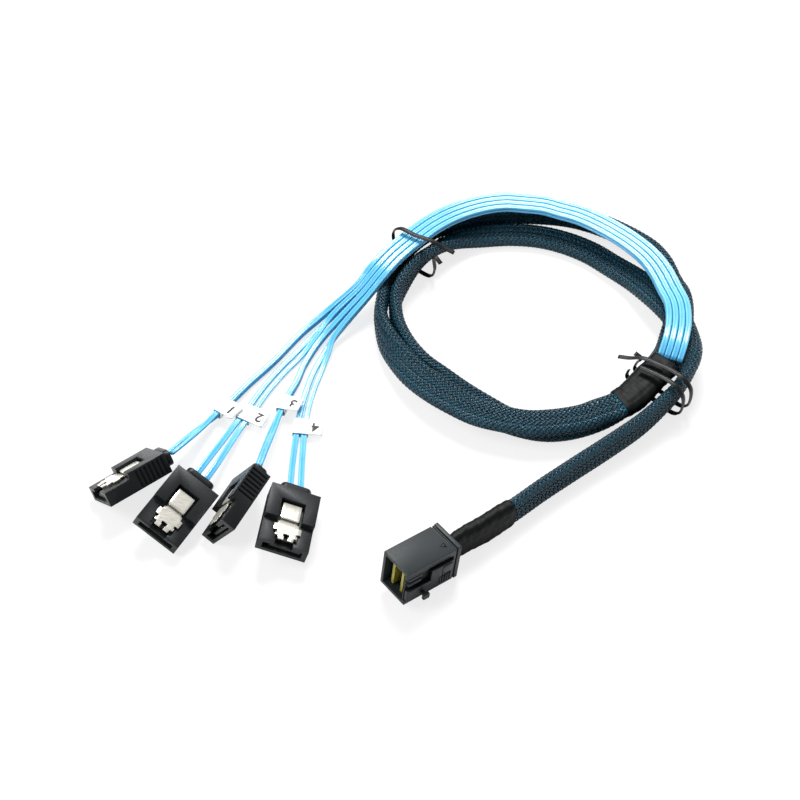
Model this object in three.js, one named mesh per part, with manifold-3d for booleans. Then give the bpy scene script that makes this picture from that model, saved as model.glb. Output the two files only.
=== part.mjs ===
// A mini SAS breakout cable: one host plug, a flat braided trunk laid in two turns,
// and eight thin ribbons that run back over it to four drive plugs.
// Millimetres, +Z up. The cable lies on a table at z = 0, as it was laid down.

import * as THREE from 'three';
import { mergeVertices } from 'three/addons/utils/BufferGeometryUtils.js';
import Module from 'manifold-3d';

const wasm = await Module();
wasm.setup();

// Where the middle of the five plugs lies in the frame that the routes below are written in.
const MIDDLE = [0.33, -5.14];

// Clear space between pieces that touch.
const GAP = 0.3;

// The flat braided trunk, and the two heat-shrink sleeves at its ends.
const TRUNK_WIDTH = 9.2;
const TRUNK_THICKNESS = 4.2;
const SHRINK_WIDTH = 9.8;
const SHRINK_THICKNESS = 4.9;
const HOST_SHRINK_LENGTH = 21.5;
const BREAKOUT_SHRINK_LENGTH = 21;
const TRUNK_SIDES = 12;
const TRUNK_STEP = 8;

// The thin ribbons: their section, and how they lie together under the ties.
const RIBBON_WIDTH = 1.8;
const RIBBON_THICKNESS = 1.0;
const RIBBON_SIDES = 8;
const RIBBON_STEP = 4.5;
const LANE = RIBBON_WIDTH + 0.15;
const LAYER = RIBBON_THICKNESS + 0.15;

// The host plug, in its own frame: x to the rear, y to the left, z up, rear edge at x = 0.
const HOST = { length: 18.6, width: 10.2, height: 12.15, wall: 1.0, mouth: 9, flange: 1.3 };
const HOST_POSE = { at: [48.2, -16, 0.3], yaw: 38, pitch: 9, roll: -2 };
const CARD = { length: 10, thickness: 1.0, height: 9.2, spacing: 3.8 };

// A drive plug, in its own frame: x to the cable, y to the left, z up, front edge at x = 0.
const DRIVE = { length: 20, width: 14.2, height: 6.0, nose: 8.2, noseHeight: 4.2, wall: 1.0 };
const DRIVE_MOUTH = { depth: 6.5, width: 11.2, top: 3.2 };
const BOSS = { length: 2.1, width: 9.0, height: 4.8, corner: 1.6 };
const LATCH = { width: 5.8, thickness: 0.45, tip: 1.6, hinge: 14.6, floor: 3.7 };
const GRIPS = { count: 7, start: 10.2, pitch: 1.35, width: 0.6, depth: 0.45 };
const DRIVE_POSES = [
  { at: [-47, 1.4, 4.6], yaw: 38, pitch: 0, roll: -38 },
  { at: [-31.9, -10.2, 4.3], yaw: 62.5, pitch: 3, roll: 26 },
  { at: [-12.2, -11, 6], yaw: 64, pitch: 0, roll: -56 },
  { at: [3.3, -16.8, 5.8], yaw: 84, pitch: 9, roll: 18 },
];

// Each row is a place on the route and the turn of the section about it: [x, y, z, degrees].
// At 0 or 180 degrees the section lies flat, and at 90 or 270 it stands on its edge.
const TRUNK_ROUTE = [
  [49.4, -14.7, 6, 88], [53.5, -11.5, 5.4, 88], [58.5, -8, 5.1, 88], [64, -4, 5.1, 88],
  [69, 0, 5, 88], [76, 6, 4.8, 88], [85, 13, 4.8, 88], [95, 20.5, 5, 88], [105.5, 28.5, 5.8, 90],
  [113, 35.5, 7, 94], [117.6, 40.7, 7.6, 98], [121.3, 47.2, 7.8, 110], [122.5, 54.2, 7.7, 142],
  [122.2, 62, 7.1, 168], [121, 69.5, 6.8, 178], [118.4, 75, 6.9, 172], [114.8, 81.5, 6, 168],
  [110, 90, 3.6, 174], [103.5, 97.5, 2.3, 180], [97.5, 103, 2.2, 180], [90, 107.5, 2.2, 180],
  [81.5, 110.5, 2.2, 180], [72, 111.5, 2.2, 180], [62, 110.5, 2.4, 180], [54, 107.5, 3.4, 198],
  [47, 101.5, 5.1, 228], [41.5, 94.5, 6.2, 255], [37.5, 87.5, 5.8, 268], [34.8, 80.5, 4.8, 270],
  [34.7, 74, 4.8, 268], [35.4, 68, 4.8, 262], [37, 62.5, 4.7, 255], [39.5, 57, 4.5, 246],
  [43, 52, 4.1, 234], [48, 47.5, 3.5, 218], [53.5, 43, 2.8, 202], [60, 38.5, 2.3, 188],
  [67.5, 33.5, 2.2, 180], [76, 30.5, 2.2, 180], [83.5, 30.5, 2.2, 180], [91.5, 33, 2.2, 180],
  [98.5, 37, 2.4, 180], [104.5, 42, 3.1, 180], [109.5, 47.5, 3.7, 180], [114.5, 54, 3.1, 180],
  [118, 60, 2.3, 180], [120.5, 67, 2.2, 180], [122.5, 73.5, 2.2, 182], [123.5, 80.5, 2.4, 190],
  [123.5, 86.5, 3.4, 216], [122, 92, 4.6, 254], [118, 99.5, 4.8, 268], [113, 105, 4.8, 268],
  [106, 110.4, 4.8, 268], [98, 115, 4.8, 268], [89.5, 117.9, 4.8, 268], [79.5, 119, 4.8, 268],
  [70, 119, 4.8, 268], [60.5, 117.7, 4.8, 268], [52.5, 114.4, 5, 268], [45, 109.5, 5.6, 268],
  [39, 102, 6.2, 268], [34.5, 94, 5.8, 268], [31.5, 86.5, 5, 268], [30.5, 79, 4.8, 268],
  [30, 73, 4.9, 266], [31, 66, 5.2, 256], [33, 60, 5.7, 240], [36.5, 53.5, 6.2, 222],
  [40.5, 47.5, 6.5, 206], [45.5, 42, 6.7, 194], [51.5, 37, 6.8, 186], [58.5, 32.5, 6.8, 182],
  [66, 30, 6.8, 180], [73.5, 28.5, 6.8, 180], [81.5, 29, 6.8, 180], [89, 30.5, 6.9, 180],
  [94, 32.5, 7.2, 180], [99, 34.5, 7.4, 180], [103, 37, 7.8, 180], [107, 41, 8.3, 180],
  [110.5, 45, 8.9, 180], [115, 49.5, 9.5, 180],
];

// The eight ribbons leave the trunk in four lanes of two layers and keep that order here.
const PACK_ROUTE = [
  [117, 52.5, 10.9], [118.5, 57, 12.2], [120, 63.5, 12.2], [120.5, 71.5, 11.6],
  [119, 78.5, 11.2], [117, 86, 11.1], [114, 92.5, 11.1], [109.5, 98.5, 11.1],
  [104.5, 103.5, 11.1], [99, 108, 11.1], [93.5, 111.5, 11.1], [87.5, 114, 11.1],
  [82.5, 116, 11.1], [76, 117, 11.1], [69.5, 117.5, 11.1], [62, 116, 11.1],
  [53.5, 112, 11.3], [46, 106, 11.8], [39, 98, 12.4], [33.5, 91.5, 12.3],
  [29, 85.5, 11.3], [24, 80, 8.2],
];

// Beyond the second tie each lane is a lead of its own. A row is the lead's place, the turn
// of its ribbons, how far apart they lie side by side, and how far one lies over the other:
// [x, y, z, degrees, apart, over].
const LEAD_ROUTES = [
  [
    [15.5, 78.5, 3.4, 0, 0, 1.2], [10, 73.5, 1.8, 0, 0, 1.2], [5, 68, 1.2, 0, 0, 1.2],
    [-2.5, 57, 1.2, 0, 0, 1.2], [-9.5, 48, 1.3, 0, 0, 1.2], [-14.5, 40.5, 1.8, 0, 0, 1.2],
    [-18.5, 35, 2.4, 0, 0.2, 1.2], [-21.4, 30.2, 3.6, 12, 1.4, 0.9], [-24, 25.6, 5.2, 26, 2.3, 0.3],
    [-26.9, 20.9, 6.5, 35, 2.8, 0], [-29.8, 17.1, 7, 38, 3, 0],
  ],
  [
    [15.5, 75, 3.2, 0, 0, 1.2], [10, 68, 1.6, 0, 1.4, 0.9], [5, 60.5, 0.8, 0, 2.1, 0],
    [0, 53.5, 0.7, 0, 2.1, 0], [-4.5, 46, 0.8, 0, 2.1, 0], [-8, 38.5, 1.2, 0, 2.1, 0],
    [-11.5, 31.5, 1.8, -6, 2.1, 0], [-14.5, 23.5, 3.4, -14, 2.4, 0],
    [-17.2, 16, 5.2, -22, 2.8, 0], [-20.2, 9.5, 5.8, -26, 3, 0],
  ],
  [
    [16, 71, 3.2, 0, 0, 1.2], [11, 64.5, 1.6, 0, 0, 1.2], [7, 56, 1.2, 0, 0, 1.2],
    [5, 49, 1.3, 0, 0, 1.2], [2.2, 41.5, 1.8, 0, 0, 1.2], [0.2, 34.5, 2.6, 8, 0.6, 1.15],
    [-1.3, 26.5, 4.6, 28, 1.8, 0.7], [-2.7, 18.5, 6.8, 48, 2.7, 0.2], [-4.3, 10.9, 7.7, 56, 3, 0],
  ],
  [
    [16.5, 67, 3, 0, 0, 1.2], [13.5, 60.5, 1.4, 0, 1.4, 0.9], [11, 53.5, 0.8, 0, 2.1, 0],
    [9, 46, 0.8, 0, 2.1, 0], [7.6, 38, 1.1, 0, 2.1, 0], [6.9, 29.5, 1.5, -4, 2.2, 0],
    [6.7, 22, 2.6, -10, 2.5, 0], [6.6, 14, 4, -16, 2.8, 0], [6.6, 5.9, 5.1, -18, 3, 0],
  ],
];

// Paper flags folded round each lead: the point of the lead they sit on, and their size.
const LABEL = { length: 6, wall: 0.3, fin: 4.2 };
const LABEL_ROWS = [5.4, 5.3, 4.3, 4.8];

// Twist ties: a wire once round the bundle, with both ends standing off the knot. Each row is
// [along, across, up] from the tie's place, with y across to the left of its heading.
const TIE_WIRE = 1.0;
const TIES = [
  {
    name: 'left_twist_tie', at: [41, 98.2], heading: 236,
    points: [
      [-3, 12.5, 11.5], [-2.2, 9, 12.6], [-1, 5.2, 14.4], [0, 0, 14.7], [0, -6, 14.6],
      [0.2, -8.3, 12.2], [0.4, -7.6, 6], [0.6, -6, 1.1], [0.8, 0, 0.9], [1, 6.4, 1.1],
      [1.1, 8, 5], [1.2, 7.6, 10], [1.6, 8.4, 11.2], [2.4, 11, 10.4],
    ],
  },
  {
    name: 'right_twist_tie', at: [113.6, 44.6], heading: 45,
    points: [
      [-4.5, 13.5, 10.6], [-3.2, 10.4, 11.4], [-1.6, 7, 12.8], [-0.4, 2, 13.2], [0, -3.4, 13.8],
      [0, -7.2, 13.6], [0.2, -9.9, 11], [0.4, -9.9, 4], [0.8, -7.4, 1.1], [1, 0, 0.85],
      [1.2, 7.5, 0.9], [1.5, 11, 2.4], [1.6, 10.6, 5.4], [1.2, 9.2, 8.6], [0.8, 11.4, 9.6],
    ],
  },
];

const rad = THREE.MathUtils.degToRad;

const materials = {
  hostPlastic: { color: 0x3f474a, roughness: 0.55, metalness: 0 },
  latchPlastic: { color: 0x2c3235, roughness: 0.5, metalness: 0 },
  card: { color: 0x8a7a35, roughness: 0.45, metalness: 0.3 },
  drivePlastic: { color: 0x2a2e31, roughness: 0.55, metalness: 0 },
  boss: { color: 0x232729, roughness: 0.6, metalness: 0 },
  contacts: { color: 0x141618, roughness: 0.5, metalness: 0 },
  spring: { color: 0xd9d6cc, roughness: 0.3, metalness: 0.8 },
  braid: { color: 0x17323d, roughness: 0.7, metalness: 0 },
  shrink: { color: 0x121415, roughness: 0.75, metalness: 0 },
  ribbon: { color: 0x3fb4e6, roughness: 0.35, metalness: 0 },
  paper: { color: 0xf2f2ee, roughness: 0.8, metalness: 0 },
  tie: { color: 0x17191a, roughness: 0.5, metalness: 0 },
};

const cable = new THREE.Group();
cable.position.set(-MIDDLE[0], -MIDDLE[1], 0);

function addPiece(parent, name, geometry, finish) {
  const piece = new THREE.Mesh(geometry, new THREE.MeshStandardMaterial(materials[finish]));
  piece.name = name;
  parent.add(piece);
  return piece;
}

// Shapes and booleans

function box(x0, x1, y0, y1, z0, z1) {
  const geometry = new THREE.BoxGeometry(x1 - x0, y1 - y0, z1 - z0);
  return geometry.translate((x0 + x1) / 2, (y0 + y1) / 2, (z0 + z1) / 2);
}

// A side view in x and z, given as an outline, with the same section right across the width.
function sideProfile(outline, width) {
  const shape = new THREE.Shape(outline.map(([x, z]) => new THREE.Vector2(x, z)));
  const geometry = new THREE.ExtrudeGeometry(shape, { depth: width, bevelEnabled: false });
  return geometry.rotateX(Math.PI / 2).translate(0, width / 2, 0);
}

// A top view in x and y, between two heights.
function topProfile(outline, z0, z1) {
  const shape = new THREE.Shape(outline.map(([x, y]) => new THREE.Vector2(x, y)));
  const geometry = new THREE.ExtrudeGeometry(shape, { depth: z1 - z0, bevelEnabled: false });
  return geometry.translate(0, 0, z0);
}

function solid(geometry) {
  const bare = geometry.clone();
  bare.deleteAttribute('normal');
  bare.deleteAttribute('uv');
  const merged = mergeVertices(bare, 1e-4);
  return new wasm.Manifold(new wasm.Mesh({
    numProp: 3,
    vertProperties: merged.attributes.position.array,
    triVerts: new Uint32Array(merged.index.array),
  }));
}

function toGeometry(shape) {
  const mesh = shape.getMesh();
  const geometry = new THREE.BufferGeometry();
  geometry.setAttribute('position', new THREE.BufferAttribute(mesh.vertProperties, 3));
  geometry.setIndex(new THREE.BufferAttribute(mesh.triVerts, 1));
  geometry.computeVertexNormals();
  return geometry;
}

function cut(body, cutters) {
  return toGeometry(cutters.reduce((rest, cutter) => rest.subtract(solid(cutter)), solid(body)));
}

// Routes: a smooth curve whose section keeps a chosen turn instead of the curve's own twist

class Route extends THREE.Curve {
  constructor(rows) {
    super();
    const place = ([x, y, z]) => new THREE.Vector3(x, y, z);
    const turn = ([, , , degrees = 0]) => new THREE.Vector3(degrees, 0, 0);
    this.places = new THREE.CatmullRomCurve3(rows.map(place), false, 'catmullrom', 0.5);
    this.turns = new THREE.CatmullRomCurve3(rows.map(turn), false, 'catmullrom', 0.5);
    this.places.arcLengthDivisions = 12 * rows.length;
    this.whole = this.places.getLength();
    this.from = 0;
    this.to = this.whole;
  }

  // The same route between two distances from its start.
  between(from, to) {
    const part = Object.create(this);
    part.from = from;
    part.to = to;
    part.cacheArcLengths = null;
    return part;
  }

  parameter(t) {
    return this.places.getUtoTmapping((this.from + t * (this.to - this.from)) / this.whole);
  }

  getPoint(t) {
    return this.places.getPoint(this.parameter(t));
  }

  // Along the route, across the wide side of the section, and through its thin side.
  frameAt(t) {
    const u = this.parameter(t);
    const along = this.places.getTangent(u);
    const left = new THREE.Vector3(-along.y, along.x, 0).normalize();
    const wide = left.applyAxisAngle(along, rad(this.turns.getPoint(u).x));
    return { along, wide, thin: new THREE.Vector3().crossVectors(along, wide) };
  }

  computeFrenetFrames(steps) {
    const frames = Array.from({ length: steps + 1 }, (_, i) => this.frameAt(i / steps));
    return {
      tangents: frames.map((frame) => frame.along),
      normals: frames.map((frame) => frame.wide),
      binormals: frames.map((frame) => frame.thin),
    };
  }
}

function oval(width, thickness, sides) {
  const points = Array.from({ length: sides }, (_, i) => {
    const angle = (i / sides) * 2 * Math.PI;
    return new THREE.Vector2((width / 2) * Math.cos(angle), (thickness / 2) * Math.sin(angle));
  });
  return new THREE.Shape(points);
}

function sweep(route, shape, step) {
  const steps = Math.max(2, Math.round((route.to - route.from) / step));
  return new THREE.ExtrudeGeometry(shape, { steps, extrudePath: route, bevelEnabled: false });
}

// The trunk: host shrink, braided sleeve and breakout shrink, end to end on one route

const trunk = new Route(TRUNK_ROUTE);
const sleeveStart = HOST_SHRINK_LENGTH + GAP;
const sleeveEnd = trunk.whole - BREAKOUT_SHRINK_LENGTH - GAP;
const sleeveShape = oval(TRUNK_WIDTH, TRUNK_THICKNESS, TRUNK_SIDES);
const shrinkShape = oval(SHRINK_WIDTH, SHRINK_THICKNESS, TRUNK_SIDES);

const hostShrink = trunk.between(0, HOST_SHRINK_LENGTH);
const sleeve = trunk.between(sleeveStart, sleeveEnd);
const breakoutShrink = trunk.between(sleeveEnd + GAP, trunk.whole);
addPiece(cable, 'host_heat_shrink', sweep(hostShrink, shrinkShape, TRUNK_STEP / 2), 'shrink');
addPiece(cable, 'braided_sleeve', sweep(sleeve, sleeveShape, TRUNK_STEP), 'braid');
addPiece(cable, 'breakout_heat_shrink', sweep(breakoutShrink, shrinkShape, TRUNK_STEP / 2), 'shrink');

// Ribbons

// The same row moved sideways and up from the line that its neighbours on the list make.
function beside(rows, index, across, over, turn) {
  const before = rows[Math.max(index - 1, 0)];
  const after = rows[Math.min(index + 1, rows.length - 1)];
  const along = new THREE.Vector3(...after.slice(0, 3)).sub(new THREE.Vector3(...before.slice(0, 3)));
  along.normalize();
  const wide = new THREE.Vector3(-along.y, along.x, 0).normalize().applyAxisAngle(along, rad(turn));
  const thin = new THREE.Vector3().crossVectors(along, wide);
  const place = new THREE.Vector3(...rows[index].slice(0, 3));
  place.addScaledVector(wide, across).addScaledVector(thin, over);
  return [place.x, place.y, place.z, turn];
}

const trunkEnd = trunk.getPoint(1).addScaledVector(trunk.frameAt(1).along, 6 * GAP);
const packRows = [[trunkEnd.x, trunkEnd.y, trunkEnd.z], ...PACK_ROUTE];

function ribbonRows(lane, layer) {
  const lead = LEAD_ROUTES[lane];
  const middle = [...packRows, ...lead];
  const side = layer - 0.5;
  return middle.map((row, i) => {
    if (i < packRows.length) {
      return beside(middle, i, (lane - 1.5) * LANE, side * LAYER, 0);
    }
    const [, , , turn, apart, over] = row;
    return beside(middle, i, side * apart, side * over, turn);
  });
}

const ribbonShape = oval(RIBBON_WIDTH, RIBBON_THICKNESS, RIBBON_SIDES);
LEAD_ROUTES.forEach((lead, lane) => {
  ['lower', 'upper'].forEach((layerName, layer) => {
    const route = new Route(ribbonRows(lane, layer));
    const name = `drive_${lane + 1}_ribbon_${layerName}`;
    addPiece(cable, name, sweep(route, ribbonShape, RIBBON_STEP), 'ribbon');
  });
});

// Labels: a band of paper round both ribbons with its two ends stuck together as a flag

function labelShape(wide, thick) {
  const out = LABEL.wall;
  const shape = new THREE.Shape([
    new THREE.Vector2(-wide - out, -thick - out),
    new THREE.Vector2(wide + out, -thick - out),
    new THREE.Vector2(wide + out, thick),
    new THREE.Vector2(wide + out + LABEL.fin, thick),
    new THREE.Vector2(wide + out + LABEL.fin, thick + out),
    new THREE.Vector2(-wide - out, thick + out),
  ]);
  shape.holes.push(new THREE.Path([
    new THREE.Vector2(-wide, -thick),
    new THREE.Vector2(-wide, thick),
    new THREE.Vector2(wide, thick),
    new THREE.Vector2(wide, -thick),
  ]));
  return shape;
}

LEAD_ROUTES.forEach((lead, lane) => {
  const index = Math.floor(LABEL_ROWS[lane]);
  const [, , , , apart, over] = lead[index];
  const route = new Route(lead.map((row) => row.slice(0, 4)));
  const middle = route.places.getUtoTmapping(0) + LABEL_ROWS[lane] / (lead.length - 1);
  const lengths = route.places.getLengths();
  const reach = lengths[Math.round(middle * (lengths.length - 1))];
  const part = route.between(reach - LABEL.length / 2, reach + LABEL.length / 2);
  const shape = labelShape((apart + RIBBON_WIDTH) / 2 + GAP, (over + RIBBON_THICKNESS) / 2 + GAP);
  addPiece(cable, `drive_${lane + 1}_label`, sweep(part, shape, LABEL.length / 2), 'paper');
});

// Twist ties

TIES.forEach(({ name, at, heading, points }) => {
  const [c, s] = [Math.cos(rad(heading)), Math.sin(rad(heading))];
  const place = ([along, across, up]) => [at[0] + along * c - across * s, at[1] + along * s + across * c, up];
  const route = new THREE.CatmullRomCurve3(points.map((row) => new THREE.Vector3(...place(row))));
  const wire = oval(TIE_WIRE, TIE_WIRE, RIBBON_SIDES);
  const steps = 3 * points.length;
  const geometry = new THREE.ExtrudeGeometry(wire, { steps, extrudePath: route, bevelEnabled: false });
  addPiece(cable, name, geometry, 'tie');
});

// Plugs

function plugGroup({ at, yaw, pitch, roll }) {
  const group = new THREE.Group();
  group.position.set(...at);
  group.rotation.set(rad(roll), rad(pitch), rad(yaw), 'ZYX');
  cable.add(group);
  return group;
}

function hostShell() {
  const { length, width, height, wall, mouth, flange } = HOST;
  const half = width / 2;
  const rear = -flange - GAP;
  const slot = CARD.thickness / 2 + GAP;
  const body = box(-length, rear, -half, half, 0, height);
  const cutters = [
    box(-length - 1, -length + mouth, -half + wall, half - wall, wall, height - wall),
    // The recess that the latch lies in, deeper under its rear end where it is pressed.
    box(-length - 1, rear - 0.8, -half - 1, -half + 0.7, 1.5, 9.8),
    box(-8.6, rear - 0.8, -half - 1, -half + 1.9, 1.5, 9.8),
    // A shallow groove in front of the flange, on the top and on the left.
    box(rear - 0.9, rear - 0.4, -half - 1, half + 1, height - 0.35, height + 1),
    box(rear - 0.9, rear - 0.4, half - 0.35, half + 1, -1, height + 1),
  ];
  for (const side of [-1, 1]) {
    const y = (side * CARD.spacing) / 2;
    const card = CARD.height / 2 + GAP;
    const middle = height / 2;
    cutters.push(box(-length + mouth - 1, -6.5, y - slot, y + slot, middle - card, middle + card));
  }
  return cut(body, cutters);
}

function hostLatch() {
  const side = -HOST.width / 2;
  const outline = [
    [-18.4, side + 0.4], [-17.6, side + 0.4], [-17.2, side - 0.1], [-9, side - 0.1],
    [-8, side + 0.3], [-7, side + 0.3], [-2.9, side + 0.3], [-2.9, side - 0.7],
    [-7.4, side - 0.9], [-9.4, side - 0.75], [-17.4, side - 0.75], [-18.4, side - 0.3],
  ];
  const paddle = solid(topProfile(outline, 2.0, 9.3));
  // Ahead of the pad the lever narrows to an arm that ends in the hook.
  const waste = box(-19, -10.5, side - 2, side + 2, 5.6, 10);
  const ribs = [0, 1, 2, 3].map((i) => solid(box(-6.8 + i, -6.4 + i, side - 1.2, side - 0.7, 2.4, 8.8)));
  const cleared = ribs.reduce((rest, rib) => rest.subtract(rib), paddle.subtract(solid(waste)));
  return toGeometry(cleared);
}

const host = plugGroup(HOST_POSE);
addPiece(host, 'host_plug_shell', hostShell(), 'hostPlastic');
const flangeHalf = HOST.width / 2 + 0.15;
const flange = box(-HOST.flange, 0, -flangeHalf, flangeHalf, 0, HOST.height + 0.1);
addPiece(host, 'host_plug_rear_flange', flange, 'hostPlastic');
addPiece(host, 'host_latch_lever', hostLatch(), 'latchPlastic');
[['right', -1], ['left', 1]].forEach(([side, sign]) => {
  const y = (sign * CARD.spacing) / 2;
  const front = -HOST.length + 1.4;
  const middle = HOST.height / 2;
  const card = box(
    front, front + CARD.length, y - CARD.thickness / 2, y + CARD.thickness / 2,
    middle - CARD.height / 2, middle + CARD.height / 2,
  );
  addPiece(host, `host_card_edge_${side}`, card, 'card');
});

function driveHousing() {
  const { length, width, height, nose, noseHeight, wall } = DRIVE;
  const half = width / 2;
  const mouth = DRIVE_MOUTH.width / 2;
  const outline = [
    [0, 0], [length, 0], [length, height], [nose, height], [nose, noseHeight], [0, noseHeight],
  ];
  const well = LATCH.width / 2 + 0.55;
  const cutters = [
    box(-1, DRIVE_MOUTH.depth, -mouth, mouth, wall, DRIVE_MOUTH.top),
    // The slot behind the mouth that the contact carrier is pushed into.
    box(DRIVE_MOUTH.depth - 1, 7.8, -mouth, mouth - 1.6, wall, wall + 1.5),
    // The notch between the two prongs of the nose, and the well that the latch lies in.
    box(-1, 2.2, -2.6, 2.6, DRIVE_MOUTH.top - 0.1, height),
    box(1.2, LATCH.hinge + 0.8, -well, well, LATCH.floor, height + 1),
  ];
  for (let i = 0; i < GRIPS.count; i += 1) {
    const x = GRIPS.start + i * GRIPS.pitch;
    for (const side of [-1, 1]) {
      const y = side * half;
      cutters.push(box(x, x + GRIPS.width, y - GRIPS.depth, y + GRIPS.depth, 0.5, height - 0.5));
    }
  }
  return cut(sideProfile(outline, width), cutters);
}

function driveBoss() {
  const { length, width, height, corner } = BOSS;
  const [w, h] = [width / 2, height / 2];
  const shape = new THREE.Shape();
  shape.moveTo(-w + corner, -h);
  shape.lineTo(w - corner, -h);
  shape.absarc(w - corner, -h + corner, corner, -Math.PI / 2, 0);
  shape.lineTo(w, h - corner);
  shape.absarc(w - corner, h - corner, corner, 0, Math.PI / 2);
  shape.lineTo(-w + corner, h);
  shape.absarc(-w + corner, h - corner, corner, Math.PI / 2, Math.PI);
  shape.lineTo(-w, -h + corner);
  shape.absarc(-w + corner, -h + corner, corner, Math.PI, 1.5 * Math.PI);
  const settings = { depth: length, bevelEnabled: false, curveSegments: 4 };
  const geometry = new THREE.ExtrudeGeometry(shape, settings);
  geometry.rotateX(Math.PI / 2).rotateZ(Math.PI / 2);
  return geometry.translate(DRIVE.length + GAP, 0, DRIVE.height / 2);
}

// A leaf of spring steel that steps down from the rear of its well to the nose.
function driveLatch() {
  const { width, thickness, tip, hinge } = LATCH;
  const [low, high] = [4.35, 4.95];
  const outline = [
    [tip, low], [8.2, low], [9, high], [hinge, high],
    [hinge, high + thickness], [8.8, high + thickness], [8, low + thickness], [tip, low + thickness],
  ];
  return sideProfile(outline, width);
}

function driveCarrier() {
  const mouth = DRIVE_MOUTH.width / 2 - GAP;
  const floor = DRIVE.wall + GAP;
  return box(0.9, 7.5, -mouth, mouth - 1.6, floor, floor + 0.9);
}

const housingGeometry = driveHousing();
DRIVE_POSES.forEach((pose, i) => {
  const plug = plugGroup(pose);
  const name = `drive_${i + 1}`;
  addPiece(plug, `${name}_plug_housing`, housingGeometry.clone(), 'drivePlastic');
  addPiece(plug, `${name}_cable_boss`, driveBoss(), 'boss');
  addPiece(plug, `${name}_contact_carrier`, driveCarrier(), 'contacts');
  addPiece(plug, `${name}_latch_spring`, driveLatch(), 'spring');
});

export default cable;
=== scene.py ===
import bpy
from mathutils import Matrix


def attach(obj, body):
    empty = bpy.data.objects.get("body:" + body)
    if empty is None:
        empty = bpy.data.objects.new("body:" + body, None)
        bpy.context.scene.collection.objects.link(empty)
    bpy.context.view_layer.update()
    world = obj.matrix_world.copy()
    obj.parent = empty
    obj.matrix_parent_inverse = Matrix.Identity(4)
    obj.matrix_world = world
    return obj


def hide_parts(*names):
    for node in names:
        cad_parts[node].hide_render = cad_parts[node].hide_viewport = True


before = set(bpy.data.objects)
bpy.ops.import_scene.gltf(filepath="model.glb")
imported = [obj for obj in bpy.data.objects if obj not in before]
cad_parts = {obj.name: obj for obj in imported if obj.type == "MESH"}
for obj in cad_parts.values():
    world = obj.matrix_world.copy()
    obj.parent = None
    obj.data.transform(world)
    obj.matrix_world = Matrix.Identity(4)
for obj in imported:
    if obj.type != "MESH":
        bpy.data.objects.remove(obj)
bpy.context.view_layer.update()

import copy
import math

import bmesh
import bpy
import numpy as np
from mathutils import Vector

# The view: the cable lies on a white table and is seen from 50 degrees above it,
# with a lens long enough that the plugs and the far side of the turns keep their size.

MM = 0.001
VIEW_CENTRE = np.array([35.67, 48.14, 0.0]) * MM
VIEW_BACK = 465 * MM
VIEW_HEIGHT = math.radians(50)


def placed(name, data):
    """A new object in the scene that holds the data."""
    thing = bpy.data.objects.new(name, data)
    bpy.context.collection.objects.link(thing)
    return thing


lens = bpy.data.cameras.new("camera")
lens.lens = 70
lens.sensor_width = 36
camera = placed("camera", lens)
behind = Vector((0, -math.cos(VIEW_HEIGHT), math.sin(VIEW_HEIGHT)))
camera.location = Vector(VIEW_CENTRE) + behind * VIEW_BACK
camera.rotation_euler = behind.to_track_quat("Z", "Y").to_euler()
bpy.context.scene.camera = camera
bpy.context.scene.view_settings.view_transform = "Standard"

# The braided trunk: eight thin ribbons in a flat pack, pushed through a tube of braided
# black filament. It lies in two turns, on its edge at the sides and flat elsewhere.

# The middle of the five plugs in the frame of the routes, in millimetres.
MIDDLE = np.array([0.33, -5.14, 0.0])
CLEAR = 0.3
HOST_SHRINK_LENGTH = 21.5
BREAKOUT_SHRINK_LENGTH = 21.0

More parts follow.
